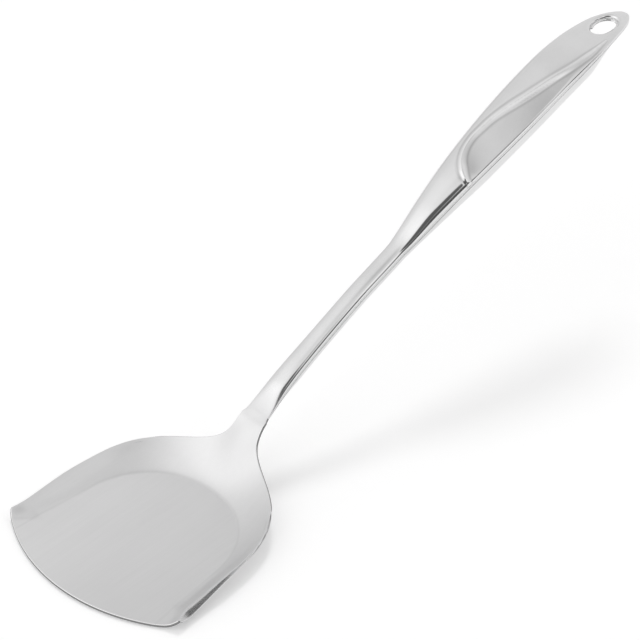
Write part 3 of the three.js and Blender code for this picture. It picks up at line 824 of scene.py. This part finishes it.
def stations(handle, coarseness):
    """Places along the handle: even steps, closer on the leaf, by the sine of an angle on the
    rounded tail, and by the cosine of an angle round the hanging hole."""
    long, _ = mouth_size(handle)
    shank = SHANK_START_X + 4 * END_STEP
    root, grip = LEAF_ROOT_X - LEAF_ROOT_BEFORE, LEAF_ROOT_X + LEAF_ROOT_AFTER
    parts = [
        [SHANK_START_X, SHANK_START_X + END_STEP],
        np.arange(shank, root, SHANK_STEP),
        np.arange(root, grip, LEAF_ROOT_STEP * coarseness),
        np.arange(grip, TAIL_START_X, GRIP_STEP * coarseness),
        ellipse_tail(0, np.linspace(0, math.pi / 2, TAIL_STEPS)),
    ]
    x = np.concatenate(parts)
    x = x[np.abs(x - HOLE_X) > long + HOLE_MARGIN]
    hole = HOLE_X - long * np.cos(np.linspace(0, math.pi, HOLE_STEPS))
    x = np.sort(np.concatenate([x, hole]))
    return x[np.append(True, np.diff(x) > LEAST_STEP)]


def shell_points(x, columns, side, handle):
    """One shell's outer face as two grids, right and left of the middle, and the mouth's half width
    at each x. Across, a grid runs from the hole's mouth, or from the middle line, to the seam's
    edge, with steps that shrink to the edge as a square."""
    long, wide = mouth_size(handle)
    mouth = wide * np.sqrt(np.clip(1 - ((x - HOLE_X) / long) ** 2, 0, 1))
    width, _, _ = section(x, handle)
    share = 1 - (1 - np.linspace(0, 1, columns)) ** 2
    across = lerp(mouth[:, None], np.maximum(width, mouth)[:, None], share[None])
    along = np.broadcast_to(x[:, None], across.shape)
    reach = top_height if side > 0 else belly_height
    spans = (-across, across)
    grids = [handle_point(along, span, side * reach(along, span, handle)) for span in spans]
    return grids, mouth


def ridge_painted_light(grid, side, handle):
    """Painted highlight and shade on the ridge: 1 on its crest and below zero along both feet, by
    bell curves. A point's place along the seam is found by going back down the seam's normal."""
    x, y, z = grid.reshape(-1, 3).T
    if side < 0:
        return np.zeros(x.shape)
    foot = x
    for _ in range(PASSES):
        level, angle = seam_at(foot)
        foot = x + np.tan(angle) * (z - level)
    offset, half, size = from_ridge(foot, y, handle)
    crest = bell(offset / (CREST_WIDTH * half))
    feet = bell((np.abs(offset) - FOOT_PLACE * half) / (FOOT_WIDTH * half))
    return (crest - FOOT_PAINTED_SHADE * feet) * np.minimum(size / FULL_PAINT_SIZE, 1)


def collar_points(x, mouth, side, handle):
    """The hole's mouth and wall: a quarter round from the outer face into the hole, then straight
    to the seam in two steps."""
    long, wide = mouth_size(handle)
    inside = np.abs(x - HOLE_X) <= long + TINY
    xs, ys = x[inside], mouth[inside]
    loop_x = np.concatenate([xs, xs[-2:0:-1]])
    loop_y = np.concatenate([ys, -ys[-2:0:-1]])
    reach = top_height if side > 0 else belly_height
    level = reach(loop_x, loop_y, handle)
    inward = -unit(np.stack([(loop_x - HOLE_X) / long**2, loop_y / wide**2], -1))
    radius = handle.collar_rounding / MM
    turn = np.linspace(0, math.pi / 2, COLLAR_STEPS)
    shift = radius * np.append(np.sin(turn), [1, 1])[:, None]
    drop = radius * np.append(1 - np.cos(turn), [1, 1])[:, None]
    down = np.append(0 * turn, [0.5, 1])[:, None]
    up = lerp(level - drop, HALF_GAP, down)
    return handle_point(loop_x + inward[:, 0] * shift, loop_y + inward[:, 1] * shift, side * up)


def make_shell(name, side, handle, material, columns, coarseness):
    """One shell: its outer face and its half of the hole's collar, given a wall by Solidify."""
    x = stations(handle, coarseness)
    grids, mouth = shell_points(x, columns, side, handle)
    collar = collar_points(x, mouth, side, handle)
    size = len(x) * columns
    right = lattice(len(x), columns)
    left = lattice(len(x), columns, size)
    wall = lattice(len(collar), collar.shape[1], 2 * size, wrap=True)
    if side > 0:
        right = right[:, ::-1]
    else:
        left = left[:, ::-1]
        wall = wall[:, ::-1]
    points = np.concatenate([part.reshape(-1, 3) for part in (*grids, collar)])
    node = "handle_top_shell" if side > 0 else "handle_bottom_shell"
    faces = np.concatenate([right, left, wall])
    plain = np.zeros(collar[..., 0].size)
    # The ridge field holds the painted highlight and shade along the ridge
    fields = {"ridge": np.concatenate([*(ridge_painted_light(grid, side, handle) for grid in grids), plain])}
    piece = make_piece(
        name, points, faces, [material], node, join=JOIN, fields=fields
    )
    walls = piece.modifiers.new("wall", "SOLIDIFY")
    walls.thickness = handle.wall
    walls.offset = -1


# Shape of the blade


def neck_end(sheet):
    """Where the blade's full section ends: a clearance and half a sheet before the weld."""
    return NECK_WELD_X - CLEARANCE - sheet / 2


def pan_distance(x, y):
    """About how far a point lies outside the flat pan, whose rear is a squared-off ellipse: its
    implicit value less 1, over the size of its slope."""
    taper = (PAN_FRONT_HALF_WIDTH - PAN_REAR_HALF_WIDTH) / (PAN_LENGTH - PAN_ROUND_LENGTH)
    half = PAN_FRONT_HALF_WIDTH - taper * (x - FRONT_X)
    t = np.maximum(x - (PAN_END_X - PAN_ROUND_LENGTH), 0) / PAN_ROUND_LENGTH
    s = np.maximum(np.abs(y) / half, NONZERO)
    p = PAN_ROUND_POWER
    rho = (t**p + s**p) ** (1 / p)
    slope = rho ** (1 - p) * np.hypot(t ** (p - 1) / PAN_ROUND_LENGTH, s ** (p - 1) / half)
    return (rho - 1) / slope


def blade_half_width(x):
    """Tapering sides times one less a high power, which turns them in at the shoulders, and a soft
    corner to the neck by the mean of that reach and its hypotenuse with the fillet's size."""
    start = FRONT_X + SHOULDER_START_SETBACK
    widest = FRONT_X + RIM_START_SETBACK
    taper = (RIM_FRONT_HALF_WIDTH - RIM_REAR_HALF_WIDTH) / (start + SHOULDER_LENGTH - widest)
    side = RIM_FRONT_HALF_WIDTH - taper * (x - widest) - NECK_HALF_WIDTH
    reach = side * (1 - (np.maximum(x - start, 0) / SHOULDER_LENGTH) ** SHOULDER_POWER)
    return NECK_HALF_WIDTH + (reach + np.hypot(reach, SHOULDER_FILLET)) / 2


def blade_height(x, y, sheet):
    """Upper face: the rim rises at an even slope from a hyperbola-shaped bend, and the neck's rise,
    a cubic from the flat to the seam's slope, is laid over it as a ridge that dies out to both
    sides. Behind the neck's end the face follows the seam."""
    start, end = PAN_END_X, neck_end(sheet)
    out = np.maximum(pan_distance(x, y), 0)
    offset = LIP_OFFSET * (1 - smoothstep(x, FRONT_X + LIP_START_SETBACK, LIP_LENGTH))

    def bowl(distance):
        """Height by distance outside the pan: a hyperbola that steepens to the rim's slope."""
        bend = (distance - offset + np.hypot(distance - offset, RIM_BEND)) / 2
        flat = (np.hypot(offset, RIM_BEND) - offset) / 2
        return sheet + RIM_SLOPE_SHARE * (bend - flat)

    z, angle = seam_at(x)
    tongue = z + sheet / 2 / np.cos(angle)
    end_z, end_angle = seam_at(np.array(end))
    rise = end_z + sheet / 2 / np.cos(end_angle) - sheet
    s = np.clip((x - start) / (end - start), 0, 1)
    leave, arrive = (end - start) * RIM_SLOPE_SHARE / 2, (end - start) * np.tan(end_angle)
    neck = sheet + rise * (3 * s**2 - 2 * s**3)
    neck = neck + leave * (s**3 - 2 * s**2 + s) + arrive * (s**3 - s**2)
    neck = np.where(x >= end, tongue, neck)
    spread = 1 / (1 + (np.abs(y) / NECK_RIDGE_HALF_WIDTH) ** NECK_RIDGE_POWER)
    lift = neck - bowl(np.maximum(pan_distance(x, 0 * y), 0))
    share = spread + (1 - spread) * smoothstep(x, start, end - start) ** NECK_MERGE_POWER
    return bowl(out) + np.where(x > start, lift * share, 0)


def curl(x, inward):
    """Height of the turned-down lip over the plain rim, and how much a point belongs to the lip's
    outer flank: it climbs steeply from the edge, which lies lower than the plain rim's, to a crest,
    and dies out further in as a squared cosine. Along the rim its size swells behind the corner by
    a smooth step and fades to the rear as a power."""
    fade_length = CURL_END_SETBACK - CURL_START_SETBACK - CURL_SWELL_LENGTH
    fade = np.clip((FRONT_X + CURL_END_SETBACK - x) / fade_length, 0, 1)
    swell = smoothstep(x, FRONT_X + CURL_START_SETBACK, CURL_SWELL_LENGTH)
    size = swell * fade**CURL_FADE_POWER
    width = np.maximum(CURL_WIDTH * size, CURL_LEAST_WIDTH)
    left = 1 - np.clip(inward / width, 0, 1)
    climb = size * (CURL_HEIGHT - (CURL_HEIGHT + CURL_DROP) * left**CURL_POWER)
    flank = 1 - smoothstep(inward, width - FLANK_EDGE, FLANK_EDGE_WIDTH)
    flank = smoothstep(size, FLANK_START_SIZE, FLANK_RISE) * flank
    reach = CURL_REACH * lerp(CURL_LEAST_REACH_SHARE, 1, size)
    return climb * np.cos(np.clip((inward - width) / reach, 0, 1) * math.pi / 2) ** 2, flank


def blade_grid(sheet, inset):
    """Upper face on a grid, and how much each point belongs to the lip's flank. Across, steps
    shrink to the rim by a power; along, the first rows follow the arc of the front edge and its
    rounded corners, and that bow fades out behind."""
    u = np.append(np.linspace(0, 1 - END_ROW_SHARE, BLADE_ROWS - 1), 1)[:, None]
    v = np.linspace(-1, 1, BLADE_COLUMNS)[None]
    side = np.sign(v) * (1 - (1 - np.abs(v)) ** COLUMN_POWER)
    fade = 1 - np.minimum(u / ROW_BOW_SHARE, 1)
    along = lerp(FRONT_X + inset, neck_end(sheet) + NECK_OVERLAP, u)

    def bowed(y, half):
        """x of each row, pushed back by the front edge's arc and the corner's round."""
        bow = FRONT_EDGE_RADIUS - np.sqrt(FRONT_EDGE_RADIUS**2 - y * y)
        into = np.maximum(np.abs(y) - (half - CORNER_RADIUS), 0)
        corner = CORNER_RADIUS - np.sqrt(np.maximum(CORNER_RADIUS**2 - into**2, 0))
        return along + bow * fade**ROW_BOW_POWER + corner * fade**CORNER_FADE_POWER

    half = blade_half_width(along) - inset
    for _ in range(PASSES):
        half = blade_half_width(bowed(half, half)) - inset
    y = side * half
    x = bowed(y, np.broadcast_to(half, y.shape))
    lip, flank = curl(x, half - np.abs(y))
    return np.stack([x, y, blade_height(x, y, sheet) + lip], -1), flank


def make_blade(blade, materials):
    """Both faces of the sheet, and round them a rim of rings on a squared-off half circle as the
    rounded edge, bright above where the shears cut and painted dark below as shade under the edge.
    Attributes keep the distance from the pan and the lip's flank."""
    sheet, nose = blade.sheet / MM, blade.nose / MM
    rows, columns = BLADE_ROWS, BLADE_COLUMNS
    top, flank = blade_grid(sheet, nose)
    normal = unit(np.cross(np.gradient(top, axis=0), np.gradient(top, axis=1)))
    bottom = top - normal * sheet
    loop = np.concatenate([
        np.arange(rows) * columns,
        (rows - 1) * columns + np.arange(1, columns),
        np.arange(rows - 2, -1, -1) * columns + columns - 1,
        np.arange(columns - 2, 0, -1),
    ])
    edge = top.reshape(-1, 3)[loop]
    face = normal.reshape(-1, 3)[loop]
    outward = unit(np.cross(unit(np.roll(edge, -1, 0) - np.roll(edge, 1, 0)), face))
    turn = np.linspace(0, math.pi, EDGE_STEPS)[1:-1, None, None]
    out = nose * np.sin(turn) ** EDGE_POWER
    down = sheet / 2 * (1 - np.sign(np.cos(turn)) * np.abs(np.cos(turn)) ** EDGE_POWER)
    rings = edge[None] + outward[None] * out - face[None] * down
    size, count = rows * columns, len(loop)
    ring_ids = 2 * size + np.arange(len(turn) * count).reshape(len(turn), count)
    ids = np.concatenate([loop[None], ring_ids, loop[None] + size])
    after = np.roll(ids, -1, 1)
    rim = np.stack([ids[:-1], ids[1:], after[1:], after[:-1]], -1).reshape(-1, 4)
    upper, under = lattice(rows, columns), lattice(rows, columns, size)[:, ::-1]
    # Rings past the bright ones take the painted shade of the edge's lower part
    zones = np.repeat(np.where(np.arange(len(ids) - 1) < BRIGHT_EDGE_RINGS, 1, 2), count)
    marks = np.concatenate([np.zeros(len(upper) + len(under)), zones])
    points = np.concatenate([part.reshape(-1, 3) for part in (top, bottom, rings)])
    lip = np.pad(flank.ravel(), (0, len(points) - flank.size))
    make_piece(
        "blade_sheet", points, np.concatenate([upper, under, rim]), materials, "blade",
        marks, fields={"bend": pan_distance(*points[:, :2].T), "lip": lip},
    )


# Shape of the joints


def make_neck_joint(handle, blade, materials):
    """Skin over the joint: rings whose upper and lower heights pass from the sheet's section, with
    its rounded edge and its slight bow across, to the shank's section by a smooth step. It stands a
    hair proud in the middle and dips under the pieces at both ends. Round a ring, the share of the
    half width is a low power of a cosine."""
    sheet, nose = blade.sheet / MM, blade.nose / MM
    start, end = neck_end(sheet) - JOINT_BEFORE, SHANK_START_X + JOINT_AFTER
    share = np.linspace(0, 1, JOINT_RINGS)[:, None]
    proud = JOINT_PROUD - JOINT_DIP * np.abs(2 * share - 1) ** JOINT_DIP_POWER
    turn = (np.arange(ROUND_STEPS) / ROUND_STEPS * 2 * math.pi)[None]
    x = lerp(start, end, share)
    step_start = start + JOINT_STEP_BEFORE
    step = smoothstep(x, step_start, SHANK_START_X - step_start)
    shank, crown, belly = section(np.maximum(x, SHANK_START_X), handle)
    width = lerp(blade_half_width(x), shank, step) + proud
    across = np.sign(np.cos(turn)) * np.abs(np.cos(turn)) ** JOINT_CORNER_POWER
    rounding = np.clip(1 - (1 - np.abs(across)) * width / nose, 0, 1)
    box = sheet / 2 * (1 - rounding**JOINT_ROUNDING_POWER) ** (EDGE_POWER / 2)
    place = np.broadcast_to(x, box.shape) - math.sin(SEAM_ANGLE[0]) * sheet / 2
    bow = blade_height(place, width * across, sheet) - blade_height(place, 0 * box, sheet)
    bow = bow * math.cos(SEAM_ANGLE[0])
    upper = lerp(box + bow, arch(crown, across), step) + proud
    lower = lerp(box - bow, arch(belly, across), step) + proud
    points = capped(handle_point(x, width * across, np.where(np.sin(turn) >= 0, upper, -lower)))
    faces = lattice(len(points), ROUND_STEPS, wrap=True)[:, ::-1]
    middles = (np.arange(ROUND_STEPS) + 0.5) / ROUND_STEPS * 2 * math.pi
    # The sides of the first rings take the edge's painted shade
    sides = np.abs(np.cos(middles)) > JOINT_EDGE_COSINE
    marks = (np.arange(len(points) - 1)[:, None] < JOINT_EDGE_RINGS) & sides[None]
    make_piece(
        "neck_joint", points, faces, materials, "neck_weld", marks.ravel(), JOIN,
        {"bend": pan_distance(points[..., 0], points[..., 1])},
    )


def make_seam_bead(name, side, handle, material, node):
    """Bead along one side of the seam: a flat box swept by the seam's edge, its outer face a little
    round."""
    body = np.linspace(SHANK_START_X + BEAD_START, TAIL_START_X, BEAD_STEPS)[:-1]
    tail = np.linspace(0, math.pi / 2, BEAD_TAIL_STEPS)
    turn = np.concatenate([0 * body, tail])
    x = np.concatenate([body, ellipse_tail(0, tail)])
    width, _, _ = section(x, handle)
    tail_width, _, _ = section(np.array(TAIL_START_X), handle)
    tall = HALF_GAP - BEAD_SLACK
    outer = np.array([-1, -0.6, -0.2, 0.2, 0.6, 1])
    outer_width = np.maximum(width[:, None] - BEAD_ROUND * outer**2, 0)
    inner_x = np.where(turn > 0, ellipse_tail(BEAD_DEPTH, turn), x)
    round_width = (tail_width - BEAD_DEPTH) * np.cos(turn)
    inner_width = np.where(turn > 0, round_width, width - BEAD_DEPTH)
    faces_out = handle_point(x[:, None], side * outer_width, tall * outer)
    inner = np.array([1.0, -1.0])
    faces_in = handle_point(inner_x[:, None], side * inner_width[:, None], tall * inner)
    points = capped(np.concatenate([faces_out, faces_in], 1))
    faces = lattice(len(points), points.shape[1], wrap=True)
    if side > 0:
        faces = faces[:, ::-1]
    make_piece(name, points, faces, [material], node, join=JOIN)


def make_hole_bead(handle, material):
    """Band between the two collars inside the hanging hole, a little proud of their walls: an oval
    swept by a profile of heights and distances outward."""
    turn = (np.arange(ROUND_STEPS) / ROUND_STEPS * 2 * math.pi)[:, None]
    long, wide = handle.hole_length / MM / 2, handle.hole_width / MM / 2
    heights = np.array([-1, -0.5, 0, 0.5, 1, 1, -1])
    outward = np.array([0.02, -0.03, -0.05, -0.03, 0.02, 0.7, 0.7])
    x = HOLE_X + (long + outward) * np.cos(turn)
    across = (wide + outward) * np.sin(turn)
    rings = handle_point(x, across, (HALF_GAP - BEAD_SLACK) * heights)
    rings = np.concatenate([rings, rings[:1]])
    faces = lattice(len(rings), rings.shape[1], wrap=True)
    make_piece("hole_bead", rings, faces, [material], "hole_weld", join=JOIN)


# The stage


def add_floor(stage):
    """A level square a hair under the blade, so that the two never share a plane."""
    mesh = bpy.data.meshes.new("floor")
    side = FLOOR_HALF_SIDE
    corners = [(x * side, y * side, FLOOR_LEVEL) for x, y in ((-1, -1), (1, -1), (1, 1), (-1, 1))]
    mesh.from_pydata(corners, [], [(0, 1, 2, 3)])
    mesh.materials.append(white_floor(stage))
    add_object("floor", mesh)


def add_key_light(stage):
    """A soft sun that only the floor and matt surfaces see; mirrors see the room."""
    lamp = bpy.data.lights.new("key_light", "SUN")
    lamp.energy = stage.key_strength
    lamp.angle = math.radians(KEY_SPREAD)
    key = add_object("key_light", lamp)
    key.matrix_world = Vector(KEY_DIRECTION).to_track_quat("Z", "Y").to_matrix().to_4x4()
    key.visible_glossy = False


def add_camera():
    """The camera of the photograph, turned about its line of sight by its roll."""
    lens = bpy.data.cameras.new("camera")
    lens.sensor_width = SENSOR_WIDTH
    lens.lens = CAMERA_LENS
    lens.clip_end = CLIP_END
    camera = add_object("camera", lens)
    azimuth = math.radians(CAMERA_AZIMUTH)
    elevation = math.radians(CAMERA_ELEVATION)
    roll = math.radians(CAMERA_ROLL)
    flat = math.cos(elevation)
    right = Vector((math.cos(azimuth), math.sin(azimuth), 0))
    back = Vector((math.sin(azimuth) * flat, -math.cos(azimuth) * flat, math.sin(elevation)))
    up = back.cross(right)
    turned_right = right * math.cos(roll) + up * math.sin(roll)
    turned_up = up * math.cos(roll) - right * math.sin(roll)
    basis = Matrix((turned_right, turned_up, back)).transposed().to_4x4()
    camera.matrix_world = Matrix.Translation(CAMERA_PLACE) @ basis
    bpy.context.scene.camera = camera


# Operators


class SPATULA_OT_add_stage(Operator):
    """Adds the floor, the white room, the key light and the camera"""

    bl_idname = "spatula.add_stage"
    bl_label = "Add Stage"

    def execute(self, context):
        stage = context.scene.spatula_stage
        add_floor(stage)
        context.scene.world = studio_room(stage)
        add_key_light(stage)
        add_camera()
        context.scene.view_settings.view_transform = "Standard"
        return {"FINISHED"}


class SPATULA_OT_add_blade(Operator):
    """Adds the pressed blade with its flared rim and its neck"""

    bl_idname = "spatula.add_blade"
    bl_label = "Add Blade"

    def execute(self, context):
        finish = context.scene.spatula_finish
        materials = [satin_steel(finish), cut_edge_steel(finish), edge_painted_shade(finish)]
        make_blade(context.scene.spatula_blade, materials)
        return {"FINISHED"}


class SPATULA_OT_add_handle(Operator):
    """Adds the two pressed shells of the hollow handle"""

    bl_idname = "spatula.add_handle"
    bl_label = "Add Handle"

    def execute(self, context):
        handle = context.scene.spatula_handle
        polished = polished_steel(context.scene.spatula_finish)
        make_shell("handle_top", 1, handle, polished, **TOP_GRID)
        make_shell("handle_belly", -1, handle, polished, **BELLY_GRID)
        return {"FINISHED"}


class SPATULA_OT_add_joints(Operator):
    """Adds the neck joint, the seam beads and the bead inside the hanging hole"""

    bl_idname = "spatula.add_joints"
    bl_label = "Add Joints"

    def execute(self, context):
        handle = context.scene.spatula_handle
        finish = context.scene.spatula_finish
        weld = ground_weld(finish)
        skin = [satin_steel(finish), edge_painted_shade(finish)]
        make_neck_joint(handle, context.scene.spatula_blade, skin)
        make_seam_bead("seam_bead_left", 1, handle, weld, "seam_weld_left")
        make_seam_bead("seam_bead_right", -1, handle, weld, "seam_weld_right")
        make_hole_bead(handle, weld)
        return {"FINISHED"}


class SPATULA_PT_panel(Panel):
    """Lists the settings and the pieces"""

    bl_label = "Wok Spatula"
    bl_space_type = "VIEW_3D"
    bl_region_type = "UI"
    bl_category = "Spatula"

    def draw(self, context):
        for group in SETTINGS:
            settings = getattr(context.scene, group)
            box = self.layout.box()
            for name in settings.bl_rna.properties.keys():
                if name not in ("rna_type", "name"):
                    box.prop(settings, name)
        for operator in OPERATORS:
            self.layout.operator(operator.bl_idname)


SETTINGS = {
    "spatula_blade": BladeSettings,
    "spatula_handle": HandleSettings,
    "spatula_finish": FinishSettings,
    "spatula_stage": StageSettings,
}
OPERATORS = (
    SPATULA_OT_add_stage, SPATULA_OT_add_blade, SPATULA_OT_add_handle, SPATULA_OT_add_joints,
)
CLASSES = (*SETTINGS.values(), *OPERATORS, SPATULA_PT_panel)


def register():
    for item in CLASSES:
        bpy.utils.register_class(item)
    for name, group in SETTINGS.items():
        setattr(bpy.types.Scene, name, PointerProperty(type=group))


def unregister():
    for name in SETTINGS:
        delattr(bpy.types.Scene, name)
    for item in reversed(CLASSES):
        bpy.utils.unregister_class(item)


def main():
    register()
    bpy.ops.spatula.add_stage()
    bpy.ops.spatula.add_blade()
    bpy.ops.spatula.add_handle()
    bpy.ops.spatula.add_joints()
    bpy.context.view_layer.update()


if __name__ == "__main__":
    main()
